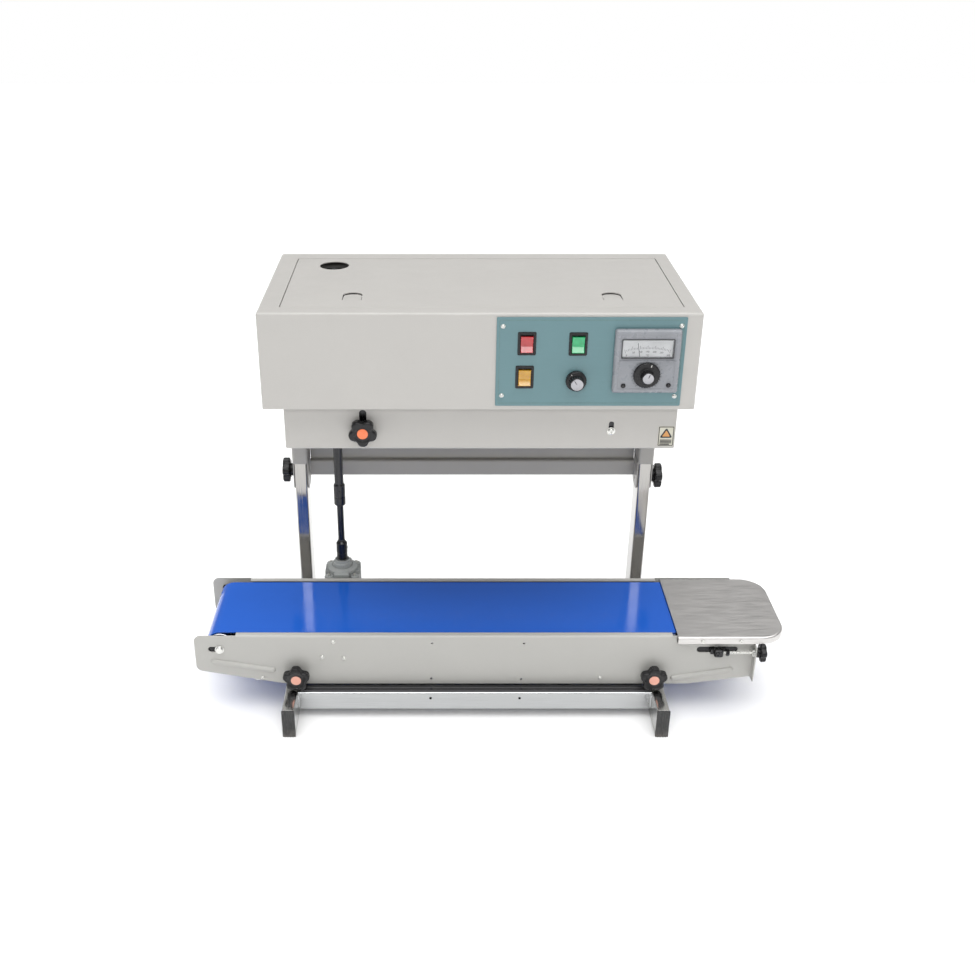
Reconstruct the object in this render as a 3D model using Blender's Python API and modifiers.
"""Continuous band sealer: a sealing head that slides on two posts above a short belt conveyor.

World axes: +X is the way the bags travel, +Y points to the back, +Z is up, and the floor is z = 0.
Every size below is in millimetres; MM turns it into Blender's metres.
"""
import math

import bmesh
import bpy
from mathutils import Matrix, Vector

MM = 0.001
FIT = 0.3            # clearance between two pieces that touch
SHEET = 1.5          # thickness of the bent sheet metal
TO_CENTRE = (-2.0, 12.0, 0.0)  # from the origin of these dimensions to the middle of the footprint

# Stand
FRAME_X = -17.0      # middle of the posts and of the head
POST_SPREAD = 244.0  # from the middle to each post
POST_SIZE = (17.5, 38.0)
POST_Y = 96.0
POST_TOP = 480.0
FOOT_WIDTH = 17.0
FOOT_Y = (-190.0, 140.0)
FOOT_TOP = 41.0
TUBE_WALL = 1.5
CAP_FACE = 3.0       # part of an end plug that stands outside its tube
CAP_PLUG = 20.0
CROSS_TUBE_Y = (-147.0, -117.0)
CROSS_TUBE_Z = (12.0, 40.0)

# Conveyor
BELT_TOP = 118.0
BELT_THICK = 1.6
BELT_Y = (-120.0, 6.0)
PLATE_GAP = 11.0     # from the belt's edge to the outside of a side plate
ROLLER_TURN = 20.0   # outside radius of the belt where it turns
ROLLER_Z = BELT_TOP - ROLLER_TURN
INLET_X = -354.0
OUTLET_X = 300.0
DRUM_X = -204.0
DRUM_Z = 93.0
PLATE_LEFT = -387.0
PLATE_RIGHT = 351.0
PLATE_BOTTOM = 43.0
TRAY_TOP = 121.0
TRAY_X = (248.0, 391.0)
TRAY_Y = (-138.0, 11.0)
TRAY_DEPTH = 10.0
CLAMP_Z = 60.0
CLAMP_INSET = 7.5    # from the middle of a foot to its clamp screw, towards the middle of the machine
LUG_THICK = 4.0
LUG_REACH = (8.5, 15.5)  # from the middle of a foot to its lug's outer and inner edges
LUG_TOP = 72.0
GEARBOX_BOTTOM = 66.0

# Telescopic drive shaft, in line with the inlet wheel of the rear band
SHAFT_X = DRUM_X
SHAFT_Y = 46.0
GEARBOX_TOP = 134.0

# Sealing head
HEAD_WIDTH = 524.0
HEAD_Y = (-103.0, 154.0)
HEAD_Z = (428.5, 550.0)
BASE_Z = (430.0, 433.0)
COVER_X = (-257.0, 230.5)
COVER_Y = (-79.0, -2.0)
COVER_BOTTOM = 365.0
LID_X = (-254.0, 226.0)
LID_Y = (-80.0, 130.0)
SLEEVE_BOTTOM = 270.0
SLEEVE_WALL = 1.5
EAR_BOTTOM = 228.0
SIDE_KNOB_Z = {"left": 252.0, "right": 243.0}
SKIRT_Y = (113.0, 115.0)
SKIRT_BOTTOM = 239.0
SKIRT_STEP = 21.0    # height of the skirt's lower face, which stands forward
VENT_AT = (-202.5, 97.0)
VENT_RADIUS = 19.0
GLAND_AT = (200.0, 455.0)
MOTOR_TOP = 530.0

# Sealing train, one band on each side of the film
WHEEL_RADIUS = 35.0
WHEEL_OFFSET = 37.0  # from the film to a wheel's axis
FILM_Y = SHAFT_Y - WHEEL_OFFSET
WHEEL_X = (SHAFT_X, 165.0)
BAND_Z = (386.0, 401.0)
BAND_THICK = 1.0
GEAR_Z = (408.0, 416.0)
PRESS_RADIUS = 15.0
PRESS_X = 110.0
HEATER_X = (-130.0, -40.0)
COOLER_X = (-10.0, 60.0)

# Controls on the front
PANEL_X = (3.0, 226.0)
PANEL_Z = (434.0, 545.5)
PANEL_THICK = 1.0
SWITCHES = {"rocker_red": (39.0, 513.0), "rocker_green": (99.5, 512.5), "rocker_amber": (37.5, 471.0)}
SWITCH_SIZE = (22.0, 29.0)
ROCKER_SIZE = (15.0, 20.0)
ROCKER_TILT = math.radians(8.0)
SPEED_AT = (99.0, 467.0)
CONTROLLER_X = (142.0, 220.0)
CONTROLLER_Z = (453.0, 532.0)
DIAL_AT = (181.5, 477.0)
LOCK_KNOB_AT = (-159.0, 392.0)
COVER_SCREW_AT = (149.5, 390.0)
FAN_Z = (520.0, 534.0)

# Star knobs
KNOB_RADIUS = 18.0
KNOB_LOBES = 5
KNOB_THICK = 16.0
STUD_RADIUS = 3.9
TENSION_KNOB = (12.5, 12.0, 3.2)  # radius, thickness and stud radius

PAINT = ("warm_grey_paint", (0.60, 0.59, 0.56), 0.45, 0.0)
DARK_PAINT = ("shaded_grey_paint", (0.46, 0.46, 0.44), 0.5, 0.0)
STAINLESS = ("stainless_steel", (0.62, 0.62, 0.61), 0.25, 1.0)
BRIGHT_STEEL = ("bright_steel", (0.70, 0.70, 0.71), 0.2, 1.0)
BLACK_STEEL = ("black_steel", (0.02, 0.02, 0.02), 0.4, 0.6)
BLACK_PLASTIC = ("black_plastic", (0.015, 0.015, 0.015), 0.35, 0.0)
BLACK_RUBBER = ("black_rubber", (0.03, 0.03, 0.03), 0.75, 0.0)
BLUE_BELT = ("blue_belt", (0.03, 0.14, 0.58), 0.3, 0.0)
CAST = ("cast_alloy", (0.42, 0.44, 0.44), 0.55, 0.7)
TEAL = ("teal_panel", (0.21, 0.36, 0.38), 0.4, 0.0)
GREY_PLASTIC = ("grey_plastic", (0.27, 0.28, 0.29), 0.4, 0.0)
RED = ("red_lens", (0.75, 0.03, 0.02), 0.25, 0.0)
GREEN = ("green_lens", (0.02, 0.50, 0.14), 0.25, 0.0)
AMBER = ("amber_lens", (0.80, 0.42, 0.04), 0.25, 0.0)
COPPER = ("copper_alloy", (0.72, 0.45, 0.20), 0.35, 1.0)
ALUMINIUM = ("aluminium", (0.75, 0.76, 0.77), 0.35, 1.0)
BAND = ("coated_band", (0.45, 0.30, 0.16), 0.5, 0.0)


# ---------------------------------------------------------------- tools

def paint(obj, finish):
    """Give the object its own Principled BSDF material."""
    label, colour, roughness, metallic = finish
    material = bpy.data.materials.new(f"{obj.name}.{label}")
    material.use_nodes = True
    shader = material.node_tree.nodes["Principled BSDF"]
    shader.inputs["Base Color"].default_value = (*colour, 1.0)
    shader.inputs["Roughness"].default_value = roughness
    shader.inputs["Metallic"].default_value = metallic
    obj.data.materials.clear()
    obj.data.materials.append(material)
    return obj


def choose(obj):
    """Make the object the only selected one."""
    bpy.ops.object.select_all(action="DESELECT")
    obj.select_set(True)
    bpy.context.view_layer.objects.active = obj


def cuboid(name, x, y, z):
    """A box between the given low and high coordinates."""
    middle = [(low + high) / 2 * MM for low, high in (x, y, z)]
    bpy.ops.mesh.primitive_cube_add(size=1, location=middle)
    obj = bpy.context.object
    obj.name = name
    obj.scale = [(high - low) * MM for low, high in (x, y, z)]
    bpy.ops.object.transform_apply(location=False, rotation=False, scale=True)
    return obj


def cylinder(name, radius, start, end, sides=32):
    """A cylinder from one point to another."""
    start, end = Vector(start) * MM, Vector(end) * MM
    along = end - start
    bpy.ops.mesh.primitive_cylinder_add(vertices=sides, radius=radius * MM, depth=along.length,
                                        location=(start + end) / 2)
    obj = bpy.context.object
    obj.name = name
    obj.rotation_mode = "QUATERNION"
    obj.rotation_quaternion = along.to_track_quat("Z", "Y")
    return obj


def turned(name, profile, foot, steps=28):
    """A closed (radius, height) profile turned about a vertical axis through foot, top to bottom."""
    mesh = bpy.data.meshes.new(name)
    shape = bmesh.new()
    points = [shape.verts.new((radius * MM, 0, height * MM)) for radius, height in profile]
    for first, second in zip(points, points[1:]):
        shape.edges.new((first, second))
    if profile[0][0] > 0:
        shape.edges.new((points[-1], points[0]))
    shape.to_mesh(mesh)
    shape.free()
    obj = bpy.data.objects.new(name, mesh)
    bpy.context.collection.objects.link(obj)
    obj.location = Vector(foot) * MM
    screw = obj.modifiers.new("turn", "SCREW")
    screw.steps = screw.render_steps = steps
    screw.use_merge_vertices = True
    screw.merge_threshold = 0.00001
    choose(obj)
    bpy.ops.object.convert(target="MESH")
    return obj


def flat_outline(name, loops, thickness, centre, normal="Z"):
    """A sheet cut to the given (across, up) outlines; inner outlines are holes."""
    curve = bpy.data.curves.new(name, "CURVE")
    curve.dimensions = "2D"
    curve.fill_mode = "BOTH"
    curve.extrude = thickness / 2 * MM
    for loop in loops:
        spline = curve.splines.new("POLY")
        spline.points.add(len(loop) - 1)
        for point, (across, up) in zip(spline.points, loop):
            point.co = (across * MM, up * MM, 0, 1)
        spline.use_cyclic_u = True
    obj = bpy.data.objects.new(name, curve)
    bpy.context.collection.objects.link(obj)
    obj.location = Vector(centre) * MM
    if normal == "Y":
        obj.rotation_euler.x = math.pi / 2
    choose(obj)
    bpy.ops.object.convert(target="MESH")
    shape = bmesh.new()
    shape.from_mesh(obj.data)
    bmesh.ops.remove_doubles(shape, verts=shape.verts, dist=0.000001)
    bmesh.ops.recalc_face_normals(shape, faces=shape.faces)
    shape.to_mesh(obj.data)
    shape.free()
    return obj


def rounded(corners, steps=4):
    """An outline from (across, up, corner radius), with each corner turned into an arc."""
    outline = []
    for index, (across, up, radius) in enumerate(corners):
        here = Vector((across, up))
        before = (Vector(corners[index - 1][:2]) - here).normalized()
        after = (Vector(corners[(index + 1) % len(corners)][:2]) - here).normalized()
        if radius == 0:
            outline.append(here)
            continue
        half = before.angle(after) / 2
        centre = here + (before + after).normalized() * radius / math.sin(half)
        start = here + before * radius / math.tan(half) - centre
        end = here + after * radius / math.tan(half) - centre
        for step in range(steps + 1):
            outline.append(centre + start.slerp(end, step / steps).normalized() * radius)
    return outline


def combine(operation, body, tools):
    """Apply a boolean of each tool to the body, then remove the tool."""
    for tool in tools:
        modifier = body.modifiers.new(operation, "BOOLEAN")
        modifier.operation = operation
        modifier.solver = "EXACT"
        modifier.object = tool
        choose(body)
        bpy.ops.object.modifier_apply(modifier=modifier.name)
        bpy.data.objects.remove(tool)
    return body


def cut(body, *tools):
    return combine("DIFFERENCE", body, tools)


def weld(body, *tools):
    return combine("UNION", body, tools)


def square_tube(name, x, y, z, along, wall):
    """A rectangular tube open at both ends."""
    spans = {"x": x, "y": y, "z": z}
    inner = {axis: (low + wall, high - wall) for axis, (low, high) in spans.items()}
    low, high = spans[along]
    inner[along] = (low - 5, high + 5)
    return cut(cuboid(name, x, y, z), cuboid("bore", **inner))


def around(middle, size):
    return (middle - size / 2, middle + size / 2)


def sides():
    """The left and the right side of the machine, as a name and a sign."""
    return (("left", -1), ("right", 1))


# ---------------------------------------------------------------- stand

def build_stand():
    for side, sign in sides():
        x = FRAME_X + sign * POST_SPREAD
        outer = CAP_FACE + FIT
        foot = square_tube(f"foot_tube_{side}", around(x, FOOT_WIDTH), (FOOT_Y[0] + outer, FOOT_Y[1] - outer),
                           (0.0, FOOT_TOP), "y", TUBE_WALL)
        add_conveyor_lugs(foot, x, sign)
        paint(foot, STAINLESS)
        post = square_tube(f"post_{side}", around(x, POST_SIZE[0]), around(POST_Y, POST_SIZE[1]),
                           (FOOT_TOP + FIT, POST_TOP), "z", TUBE_WALL)
        paint(post, STAINLESS)
        for end, tip, inward in (("front", FOOT_Y[0], 1), ("rear", FOOT_Y[1], -1)):
            build_end_cap(f"end_cap_{end}_{side}", x, tip, inward)
    inner = POST_SPREAD - FOOT_WIDTH / 2 - FIT
    cross = square_tube("front_cross_tube", (FRAME_X - inner, FRAME_X + inner), CROSS_TUBE_Y,
                        CROSS_TUBE_Z, "x", TUBE_WALL)
    paint(cross, STAINLESS)


def add_conveyor_lugs(foot, x, sign):
    """Two lugs on a foot tube that the conveyor's side plates stand against."""
    front, rear = plate_faces()
    for face, inward in ((front, 1), (rear, -1)):
        near = face + inward * (SHEET + FIT)
        span = sorted((near, near + inward * LUG_THICK))
        across = sorted((x + sign * LUG_REACH[0], x - sign * LUG_REACH[1]))
        lug = cuboid("lug", across, span, (FOOT_TOP - TUBE_WALL / 2, LUG_TOP))
        weld(foot, cut(lug, clamp_hole(x, span)))


def clamp_hole(x, span):
    """A cutter for the hole that a clamp screw passes through, beside the foot at x."""
    screw_x = x + CLAMP_INSET * (1 if x < FRAME_X else -1)
    return cylinder("clamp hole", STUD_RADIUS + 0.4, (screw_x, span[0] - 5, CLAMP_Z),
                    (screw_x, span[1] + 5, CLAMP_Z), 16)


def build_end_cap(name, x, tip, inward):
    """A rubber end cap: a face that covers the end of a foot tube, and the plug that holds it there."""
    room = TUBE_WALL + FIT
    cap = cuboid(name, around(x, FOOT_WIDTH), sorted((tip, tip + inward * CAP_FACE)), (0.0, FOOT_TOP))
    plug = cuboid("plug", around(x, FOOT_WIDTH - 2 * room), sorted((tip + inward, tip + inward * CAP_PLUG)),
                  (room, FOOT_TOP - room))
    paint(weld(cap, plug), BLACK_RUBBER)


# ---------------------------------------------------------------- knobs

def star_knob(name, seat, outward, stud, radius=KNOB_RADIUS, thick=KNOB_THICK, stud_radius=STUD_RADIUS):
    """A lobed knob that points outward from its seat, with a stud going the other way."""
    outline = []
    points = 8 * KNOB_LOBES
    for step in range(points):
        angle = 2 * math.pi * step / points
        reach = radius * (0.9 + 0.1 * math.cos(KNOB_LOBES * angle))
        outline.append((reach * math.cos(angle), reach * math.sin(angle)))
    neck_height = thick * 0.3
    knob = flat_outline(name, [outline], thick - neck_height, (0, 0, 0))
    knob.data.transform(Matrix.Translation((0, 0, (thick + neck_height) / 2 * MM)))
    neck = cylinder("neck", radius * 0.45, (0, 0, 0), (0, 0, neck_height + 1), 16)
    pin = cylinder("pin", stud_radius, (0, 0, -stud), (0, 0, 2), 12)
    weld(knob, neck, pin)
    knob.location = Vector(seat) * MM
    knob.rotation_mode = "QUATERNION"
    knob.rotation_quaternion = Vector(outward).to_track_quat("Z", "Y")
    return paint(knob, BLACK_PLASTIC)


# ---------------------------------------------------------------- conveyor

def plate_faces():
    """Outer faces of the front and rear side plates."""
    return BELT_Y[0] - PLATE_GAP, BELT_Y[1] + PLATE_GAP


def build_side_plate(name, face, inward):
    """A side plate with returned flanges; face is its outside, and inward is +1 or -1 along Y."""
    left, right, low = PLATE_LEFT, PLATE_RIGHT - 2, PLATE_BOTTOM
    outline = rounded([(left, low + 22, 9), (left + 118, low, 6), (right - 82, low, 6),
                       (right, low + 12, 2), (right, 119.0, 2), (left, 119.0, 9)])
    middle = face + inward * SHEET / 2
    plate = flat_outline(name, [outline], SHEET, (0, middle, 0), "Y")
    reach = sorted((face + inward * 0.2, face + inward * (PLATE_GAP - 2.5)))
    top = cuboid("top flange", (INLET_X + 22, TRAY_X[0] - 6), reach, (119.0 - SHEET, 119.0))
    lug_room = POST_SPREAD - LUG_REACH[1] - 2
    foot = cuboid("foot flange", (FRAME_X - lug_room, FRAME_X + lug_room), reach, (low, low + SHEET))
    outer = sorted((face + inward * 0.2, face - inward * 12))
    lip = cuboid("end lip", (right - 0.5, PLATE_RIGHT), outer, (low + 12, 108.0))
    weld(plate, top, foot, lip)
    depth = (face - 20, face + 20)
    cut(plate,
        cuboid("axle slot", (INLET_X - 10, INLET_X + 6), depth, around(ROLLER_Z, 11.0)),
        cuboid("take-up slot", (OUTLET_X - 26, OUTLET_X + 24), depth, around(ROLLER_Z, 11.0)),
        cylinder("drum hole", 8.5, (DRUM_X, depth[0], DRUM_Z), (DRUM_X, depth[1], DRUM_Z)),
        cylinder("screw hole", 4.4, (PLATE_RIGHT - 9, face - inward * 7, ROLLER_Z),
                 (PLATE_RIGHT + 9, face - inward * 7, ROLLER_Z), 16))
    if inward > 0:
        for _, sign in sides():
            cut(plate, clamp_hole(FRAME_X + sign * POST_SPREAD, depth))
    return paint(plate, PAINT)


def build_roller(name, x, z, radius, axle_ends, axle_radius):
    """A roller under the belt, with its axle running to the two given Y positions."""
    middle = (BELT_Y[0] + BELT_Y[1]) / 2
    roller = cylinder(name, radius, (x, middle - 65, z), (x, middle + 65, z))
    weld(roller, cylinder("axle", axle_radius, (x, axle_ends[0], z), (x, axle_ends[1], z), 16))
    return paint(roller, BRIGHT_STEEL)


def build_conveyor():
    front, rear = plate_faces()
    build_side_plate("conveyor_front_plate", front, 1)
    build_side_plate("conveyor_rear_plate", rear, -1)

    bed = cuboid("slider_bed", (INLET_X + 25, TRAY_X[0] - 2 * FIT), (front + SHEET + FIT, rear - SHEET - FIT),
                 (92.0, BELT_TOP - BELT_THICK - FIT))
    hollow = cuboid("under bed", (INLET_X, OUTLET_X), (front + 2 * SHEET + FIT, rear - 2 * SHEET - FIT),
                    (80.0, BELT_TOP - BELT_THICK - FIT - 1.2))
    cut(bed, hollow, cuboid("drum bay", (DRUM_X - 22, DRUM_X + 22), (front, rear), (80.0, 112.0)))
    paint(bed, STAINLESS)

    belt_loops = []
    for radius in (ROLLER_TURN, ROLLER_TURN - BELT_THICK):
        loop = []
        for x, start in ((OUTLET_X, -90), (INLET_X, 90)):
            for step in range(13):
                angle = math.radians(start + 15 * step)
                loop.append((x + radius * math.cos(angle), ROLLER_Z + radius * math.sin(angle)))
        belt_loops.append(loop)
    middle = (BELT_Y[0] + BELT_Y[1]) / 2
    belt = flat_outline("conveyor_belt", belt_loops, BELT_Y[1] - BELT_Y[0], (0, middle, 0), "Y")
    paint(belt, BLUE_BELT)

    inner = ROLLER_TURN - BELT_THICK - 0.4
    through = (front - 3, rear + 3)
    build_roller("inlet_roller", INLET_X, ROLLER_Z, inner, through, 5.0)
    build_roller("tension_roller", OUTLET_X, ROLLER_Z, inner, through, 5.0)
    drum_radius = DRUM_Z - (BELT_TOP - 2 * ROLLER_TURN + BELT_THICK) - FIT
    build_roller("drive_drum", DRUM_X, DRUM_Z, drum_radius, (front - 2, rear + 2), 7.0)

    for end, face, inward in (("front", front, 1), ("rear", rear, -1)):
        build_take_up(end, face, inward)
    build_tray()
    build_gearbox(rear)
    for side, sign in sides():
        seat = (FRAME_X + sign * (POST_SPREAD - CLAMP_INSET), front - 2, CLAMP_Z)
        star_knob(f"clamp_knob_{side}", seat, (0, -1, 0), 18)


def build_take_up(end, face, inward):
    """The sliding block that holds the tension roller's axle, and the screw that pulls it."""
    near = face - inward * FIT
    span = sorted((near, face - inward * 12))
    block = cuboid(f"take_up_block_{end}", (OUTLET_X - 8, OUTLET_X + 12), span, around(ROLLER_Z, 15.0))
    axle = cylinder("axle hole", 5.3, (OUTLET_X, span[0] - 5, ROLLER_Z), (OUTLET_X, span[1] + 5, ROLLER_Z))
    y = face - inward * 7
    radius, thick, stud = TENSION_KNOB
    bore = cylinder("screw bore", stud + 0.4, (OUTLET_X, y, ROLLER_Z), (OUTLET_X + 40, y, ROLLER_Z), 16)
    paint(cut(block, axle, bore), BRIGHT_STEEL)
    seat = (PLATE_RIGHT + 1, y, ROLLER_Z)
    star_knob(f"tension_screw_{end}", seat, (1, 0, 0), seat[0] - OUTLET_X - 7, radius, thick, stud)


def build_tray():
    """The outfeed tray: a sheet with two rounded outer corners and a lip turned down all round."""
    def outline(inset):
        low, high = TRAY_Y[0] + inset, TRAY_Y[1] - inset
        left, right, bend = TRAY_X[0] + inset, TRAY_X[1] - inset, 34 - inset
        return rounded([(left, low, 0), (right, low, bend), (right, high, bend), (left, high, 0)], 6)
    centre = (0, 0, TRAY_TOP - TRAY_DEPTH / 2)
    tray = flat_outline("extension_tray", [outline(0)], TRAY_DEPTH, centre)
    under = flat_outline("under tray", [outline(SHEET)], TRAY_DEPTH, (0, 0, centre[2] - SHEET))
    mouth = cuboid("inlet side", (TRAY_X[0] - 5, TRAY_X[0] + 5), (TRAY_Y[0] + SHEET, TRAY_Y[1] - SHEET),
                   (TRAY_TOP - 2 * TRAY_DEPTH, TRAY_TOP - SHEET))
    paint(cut(tray, under, mouth), STAINLESS)


def build_gearbox(rear):
    """The right-angle gearbox behind the conveyor, with a domed top where the drive shaft goes in."""
    base = GEARBOX_BOTTOM
    case = turned("gearbox_case", [(0, GEARBOX_TOP), (11, GEARBOX_TOP), (20, GEARBOX_TOP - 4),
                                   (24, GEARBOX_TOP - 12), (25.5, GEARBOX_TOP - 22), (25.5, base), (0, base)],
                  (SHAFT_X, SHAFT_Y, 0))
    mount = cuboid("mount", around(DRUM_X, 54.0), (rear + 2 + 2 * FIT, SHAFT_Y), (base, DRUM_Z + 22))
    paint(weld(case, mount), CAST)


# ---------------------------------------------------------------- drive shaft

def build_drive_shaft():
    """The rod that turns with the gearbox, and the tube that slides on it with the head."""
    foot = (SHAFT_X, SHAFT_Y, 0)
    start = GEARBOX_TOP + FIT
    rod = turned("drive_shaft_rod", [(0, 315), (4.6, 315), (4.6, 164), (7.0, 162), (7.8, 158), (7.8, 140),
                                     (6.4, start), (0, start)], foot, 20)
    paint(rod, BLACK_STEEL)
    bore = 5.2
    top = BAND_Z[0] - FIT
    tube = turned("drive_shaft_tube", [(0, top), (8.0, top), (8.0, top - 12), (6.3, top - 14), (6.3, 256),
                                       (8.0, 254), (8.0, 224), (7.2, 222), (bore, 222), (bore, top - 14),
                                       (0, top - 14)], foot, 20)
    paint(tube, BLACK_STEEL)


# ---------------------------------------------------------------- sealing head

def build_housing():
    left, right = around(FRAME_X, HEAD_WIDTH)
    front, rear = HEAD_Y
    low, high = HEAD_Z
    shell = cuboid("housing_shell", (left, right), (front, rear), (low, high))
    choose(shell)
    bevel = shell.modifiers.new("bends", "BEVEL")
    bevel.width = 3.0 * MM
    bevel.segments = 3
    bpy.ops.object.modifier_apply(modifier="bends")
    room = cuboid("room", (left + SHEET, right - SHEET), (front + SHEET, rear + 5), (low - 5, high - SHEET))
    lid_hole = cuboid("lid hole", LID_X, LID_Y, (high - 5, high + 5))
    cut(shell, room, lid_hole)
    for x, z in SWITCHES.values():
        cut(shell, cuboid("switch hole", around(x, SWITCH_SIZE[0] - 2), (front - 5, front + 5),
                          around(z, SWITCH_SIZE[1] - 2)))
    cut(shell, cuboid("controller hole", (CONTROLLER_X[0] + 3, CONTROLLER_X[1] - 3), (front - 5, front + 5),
                      (CONTROLLER_Z[0] + 3, CONTROLLER_Z[1] - 3)))
    paint(shell, PAINT)

    lid = cuboid("top_lid", (LID_X[0] + 0.5, LID_X[1] - 0.5), (LID_Y[0] + 0.5, LID_Y[1] - 0.5),
                 (high - SHEET, high))
    cut(lid, cylinder("vent", VENT_RADIUS, (*VENT_AT, high - 5), (*VENT_AT, high + 5), 36))
    paint(lid, PAINT)

    back = cuboid("rear_cover", (left + SHEET + FIT, right - SHEET - FIT), (rear - 2 - SHEET, rear - 2),
                  (BASE_Z[1] + FIT, high - SHEET - FIT))
    slot_x, slot_low, slot_pitch = (-200, -90), 462, 10
    for row in range(6):
        cut(back, cuboid("vent slot", slot_x, (rear - 9, rear + 5), around(slot_low + row * slot_pitch, 4.0)))
    x, z = GLAND_AT
    cut(back, cylinder("gland hole", 7.3, (x, rear - 9, z), (x, rear + 5, z), 24))
    paint(back, PAINT)

    gland = cylinder("power_inlet_gland", 10.0, (x, rear - 2 + FIT, z), (x, rear + 12, z), 6)
    weld(gland, cylinder("body", 7.0, (x, rear - 12, z), (x, rear, z), 24))
    cut(gland, cylinder("cable bore", 4.0, (x, rear - 20, z), (x, rear + 20, z), 16))
    paint(gland, BLACK_PLASTIC)

    base = cuboid("base_plate", (left + SHEET + FIT, right - SHEET - FIT), (front + SHEET + FIT, rear - FIT),
                  BASE_Z)
    for _, sign in sides():
        x = FRAME_X + sign * POST_SPREAD
        cut(base, cuboid("post hole", around(x, POST_SIZE[0] + 3), around(POST_Y, POST_SIZE[1] + 3),
                         (BASE_Z[0] - 5, BASE_Z[1] + 5)))
    x, y = WHEEL_X[1], FILM_Y + WHEEL_OFFSET
    cut(base, cylinder("motor shaft hole", 5.5, (x, y, BASE_Z[0] - 5), (x, y, BASE_Z[1] + 5), 24))
    paint(base, DARK_PAINT)


def build_front_cover():
    """The skirt below the housing, slotted so that it can be dropped on its two front fixings."""
    top = BASE_Z[0] - FIT
    cover = cuboid("lower_front_cover", COVER_X, COVER_Y, (COVER_BOTTOM, top))
    room = cuboid("room", (COVER_X[0] + SHEET, COVER_X[1] - SHEET), (COVER_Y[0] + SHEET, COVER_Y[1] + 5),
                  (COVER_BOTTOM - 5, top + 5))
    cut(cover, room)
    depth = (COVER_Y[0] - 5, COVER_Y[0] + 5)
    x, z = LOCK_KNOB_AT
    cut(cover, cuboid("lock slot", around(x, 9.0), depth, (z - 5, z + 26)))
    x, z = COVER_SCREW_AT
    cut(cover, cuboid("screw slot", around(x, 6.0), depth, (z - 4, z + 12)))
    paint(cover, PAINT)

    y = (COVER_Y[0] + SHEET + FIT, COVER_Y[0] + SHEET + FIT + 2)
    span = (WHEEL_X[0] - 11, WHEEL_X[1] + 20)
    hanger = cuboid("front_bearing_bracket", span, y, (COVER_BOTTOM + 13, top))
    wheel_y = FILM_Y - WHEEL_OFFSET
    shelf = cuboid("shelf", span, (y[0], wheel_y + 8), (top - 3, top))
    weld(hanger, shelf)
    x, z = LOCK_KNOB_AT
    cut(hanger, cylinder("stud hole", STUD_RADIUS + 0.4, (x, y[0] - 5, z), (x, y[1] + 5, z), 16))
    for wheel_x in WHEEL_X:
        cut(hanger, cylinder("bearing", 5.5, (wheel_x, wheel_y, top - 9), (wheel_x, wheel_y, top + 9), 24))
    paint(hanger, BRIGHT_STEEL)
    star_knob("cover_lock_knob", (LOCK_KNOB_AT[0], COVER_Y[0] - FIT, LOCK_KNOB_AT[1]), (0, -1, 0), 3.6)


def build_post_sleeves():
    """Sleeves that slide on the posts, each with its clamping knob, and the skirt between them."""
    top = BASE_Z[0] - FIT
    clearance = 0.5
    across = POST_SIZE[0] + 2 * (clearance + SLEEVE_WALL)
    deep = POST_SIZE[1] + 2 * (clearance + SLEEVE_WALL)
    for side, sign in sides():
        x = FRAME_X + sign * POST_SPREAD
        sleeve = square_tube(f"post_sleeve_{side}", around(x, across), around(POST_Y, deep),
                             (SLEEVE_BOTTOM, top), "z", SLEEVE_WALL)
        for edge in around(x, across):
            thickness = SLEEVE_WALL if edge < x else -SLEEVE_WALL
            weld(sleeve, cuboid("ear", sorted((edge, edge + thickness)), around(POST_Y, 34.0),
                                (EAR_BOTTOM, SLEEVE_BOTTOM + 1)))
        outside = x + sign * across / 2
        z = SIDE_KNOB_Z[side]
        cut(sleeve, cylinder("stud hole", STUD_RADIUS + 0.4, (outside - 4, POST_Y, z),
                             (outside + 4, POST_Y, z), 16))
        paint(sleeve, PAINT)
        seat = (outside + sign * FIT, POST_Y, z)
        star_knob(f"side_clamp_knob_{side}", seat, (sign, 0, 0), SLEEVE_WALL + clearance)
    reach = POST_SPREAD - across / 2 - FIT
    span = (FRAME_X - reach, FRAME_X + reach)
    forward = SKIRT_Y[0] - 8
    fold = SKIRT_BOTTOM + SKIRT_STEP
    skirt = cuboid("rear_skirt", span, SKIRT_Y, (fold, top))
    shelf = cuboid("shelf", span, (forward, SKIRT_Y[1]), (fold, fold + 2))
    lower = cuboid("lower face", span, (forward, forward + 2), (SKIRT_BOTTOM, fold + 2))
    paint(weld(skirt, shelf, lower), DARK_PAINT)


# ---------------------------------------------------------------- sealing train

def build_wheel(name, x, y, driven):
    """A band wheel on a vertical shaft; the driven pair also carry the gears that link them."""
    low, high = BAND_Z
    wheel = cylinder(name, WHEEL_RADIUS, (x, y, low), (x, y, high), 40)
    top = BASE_Z[1] if driven and y > FILM_Y else BASE_Z[0] - FIT
    weld(wheel, cylinder("shaft", 5.0, (x, y, low + 2), (x, y, top), 16))
    if driven:
        weld(wheel, cylinder("gear", WHEEL_OFFSET - FIT, (x, y, GEAR_Z[0]), (x, y, GEAR_Z[1]), 40))
    return paint(wheel, ALUMINIUM)


def band_outline(side, radius):
    """The loop of a band round its two wheels, on one side of the film."""
    y = FILM_Y + side * WHEEL_OFFSET
    loop = []
    for x, start in ((WHEEL_X[1], -90), (WHEEL_X[0], 90)):
        for step in range(13):
            angle = math.radians(start + 15 * step)
            loop.append((x + radius * math.cos(angle), y + radius * math.sin(angle)))
    return loop


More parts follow.
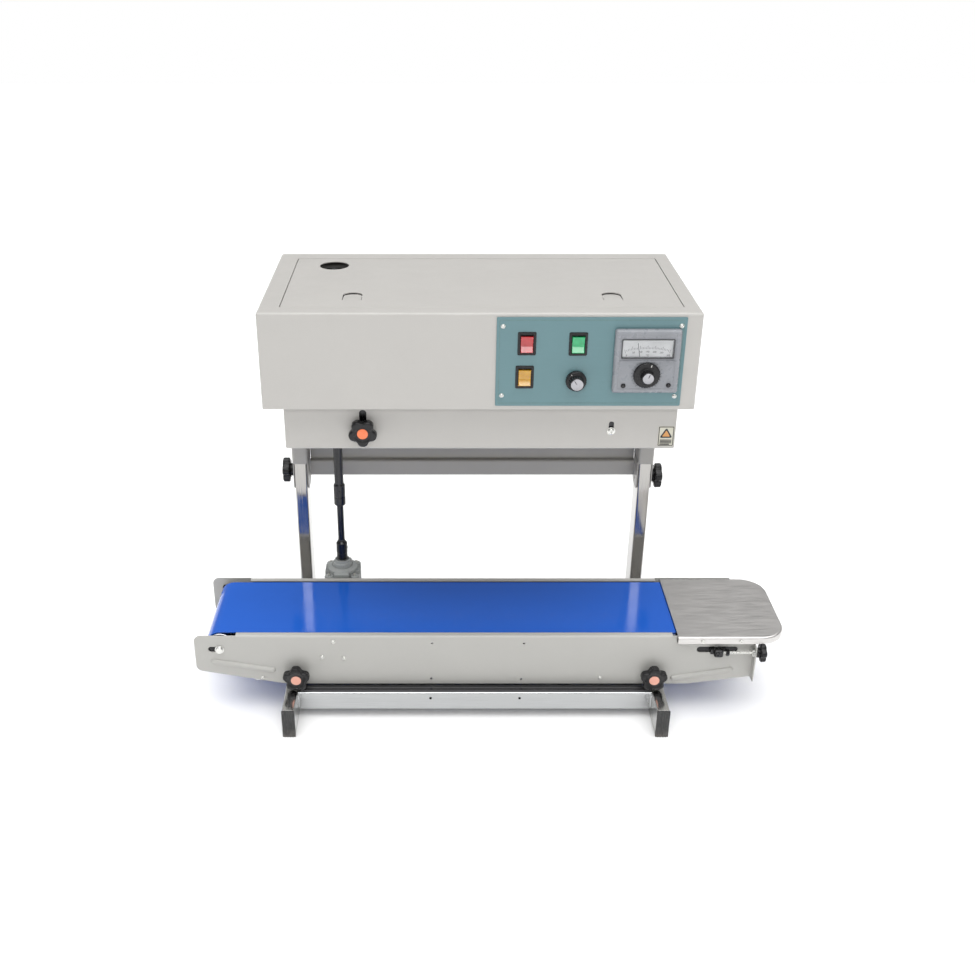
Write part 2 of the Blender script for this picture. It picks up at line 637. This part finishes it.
def build_train():
    middle = sum(BAND_Z) / 2
    for side, sign in (("front", -1), ("rear", 1)):
        y = FILM_Y + sign * WHEEL_OFFSET
        build_wheel(f"drive_wheel_{side}", WHEEL_X[1], y, True)
        build_wheel(f"idle_wheel_{side}", WHEEL_X[0], y, False)
        inner = WHEEL_RADIUS + FIT
        band = flat_outline(f"seal_band_{side}", [band_outline(sign, inner + BAND_THICK),
                                                  band_outline(sign, inner)],
                            BAND_Z[1] - BAND_Z[0] - 1, (0, 0, middle))
        paint(band, BAND)
        near = FILM_Y + sign * (WHEEL_OFFSET - inner + FIT)
        far = near + sign * 14
        top = GEAR_Z[1] + 8
        heater = cuboid(f"heating_block_{side}", HEATER_X, sorted((near, far)), (BAND_Z[0] + 1, top))
        paint(heater, COPPER)
        cooler = cuboid(f"cooling_block_{side}", COOLER_X, sorted((near, far)), (BAND_Z[0] + 1, top))
        for fin in range(6):
            z = BAND_Z[0] + 6 + fin * 6
            cut(cooler, cuboid("fin gap", (COOLER_X[0] - 5, COOLER_X[1] + 5),
                               sorted((near + sign * 5, far + sign * 5)), around(z, 3.0)))
        paint(cooler, ALUMINIUM)
        y = near + sign * PRESS_RADIUS
        press = cylinder(f"pressure_wheel_{side}", PRESS_RADIUS, (PRESS_X, y, BAND_Z[0] + 1),
                         (PRESS_X, y, BAND_Z[1] - 1))
        weld(press, cylinder("shaft", 4.0, (PRESS_X, y, BAND_Z[0] + 2), (PRESS_X, y, BASE_Z[0] - 4), 16))
        paint(press, BRIGHT_STEEL)
    x, y = WHEEL_X[1], FILM_Y + WHEEL_OFFSET
    motor = cylinder("drive_motor", 34.0, (x, y, BASE_Z[1] + FIT), (x, y, MOTOR_TOP))
    paint(motor, CAST)


# ---------------------------------------------------------------- controls

def build_controls():
    front = HEAD_Y[0] - FIT
    face = front - PANEL_THICK
    panel = cuboid("control_panel", PANEL_X, (face, front), PANEL_Z)
    for x, z in SWITCHES.values():
        frame = cuboid("bezel", around(x, SWITCH_SIZE[0]), (face - 1.5, front), around(z, SWITCH_SIZE[1]))
        weld(panel, frame)
        cut(panel, cuboid("window", around(x, ROCKER_SIZE[0] + 1), (face - 5, front + 5),
                          around(z, ROCKER_SIZE[1] + 2)))
    cut(panel, cuboid("controller window", (CONTROLLER_X[0] + 3, CONTROLLER_X[1] - 3), (face - 5, front + 5),
                      (CONTROLLER_Z[0] + 3, CONTROLLER_Z[1] - 3)))
    paint(panel, TEAL)

    for (name, (x, z)), finish in zip(SWITCHES.items(), (RED, GREEN, AMBER)):
        rocker = cuboid(name, around(0, ROCKER_SIZE[0]), (-2.0, 4.0), around(0, ROCKER_SIZE[1]))
        rocker.data.transform(Matrix.Translation(rocker.location))
        rocker.location = Vector((x, face - 0.6, z)) * MM
        rocker.rotation_euler.x = ROCKER_TILT
        paint(rocker, finish)

    body = cuboid("temperature_controller", CONTROLLER_X, (face - 8, face - FIT), CONTROLLER_Z)
    back = cuboid("back", (CONTROLLER_X[0] + 4, CONTROLLER_X[1] - 4), (face - 1, face + 70),
                  (CONTROLLER_Z[0] + 4, CONTROLLER_Z[1] - 4))
    window = cuboid("window", (CONTROLLER_X[0] + 9, CONTROLLER_X[1] - 9), (face - 20, face - 4),
                    (498.0, 520.0))
    paint(cut(weld(body, back), window), GREY_PLASTIC)

    x, z = DIAL_AT
    dial = cylinder("temperature_dial", 16.0, (x, face - 8 - FIT, z), (x, face - 12, z), 32)
    weld(dial, cylinder("grip", 8.0, (x, face - 11, z), (x, face - 22, z), 24))
    paint(dial, BLACK_PLASTIC)
    x, z = SPEED_AT
    speed = cylinder("speed_knob", 12.5, (x, face - FIT, z), (x, face - 6, z), 32)
    weld(speed, cylinder("grip", 9.0, (x, face - 5, z), (x, face - 16, z), 24))
    paint(speed, BLACK_PLASTIC)

    build_fan()


def build_fan():
    """The fan under the lid's vent."""
    fan = cylinder("cooling_fan", 9.0, (*VENT_AT, FAN_Z[0]), (*VENT_AT, FAN_Z[1]), 24)
    pitch = Matrix.Rotation(math.radians(35), 4, "X")
    blades = 6
    for blade in range(blades):
        paddle = cuboid("blade", (6, 26), (-0.8, 0.8), (FAN_Z[0] + 2, FAN_Z[1] - 2))
        out = Matrix.Translation(paddle.location)
        paddle.data.transform(Matrix.Rotation(2 * math.pi * blade / blades, 4, "Z") @ out @ pitch)
        paddle.location = Vector((*VENT_AT, 0)) * MM
        weld(fan, paddle)
    paint(fan, BLACK_PLASTIC)


def hang_all():
    """Hang every piece from one empty that puts the middle of the footprint at the origin."""
    bpy.ops.object.empty_add(location=[offset * MM for offset in TO_CENTRE])
    centre = bpy.context.object
    centre.name = "footprint_middle"
    for obj in bpy.data.objects:
        if obj.type == "MESH":
            obj.parent = centre


def main():
    for obj in list(bpy.data.objects):
        bpy.data.objects.remove(obj)
    build_stand()
    build_conveyor()
    build_drive_shaft()
    build_housing()
    build_front_cover()
    build_post_sleeves()
    build_train()
    build_controls()
    hang_all()


main()
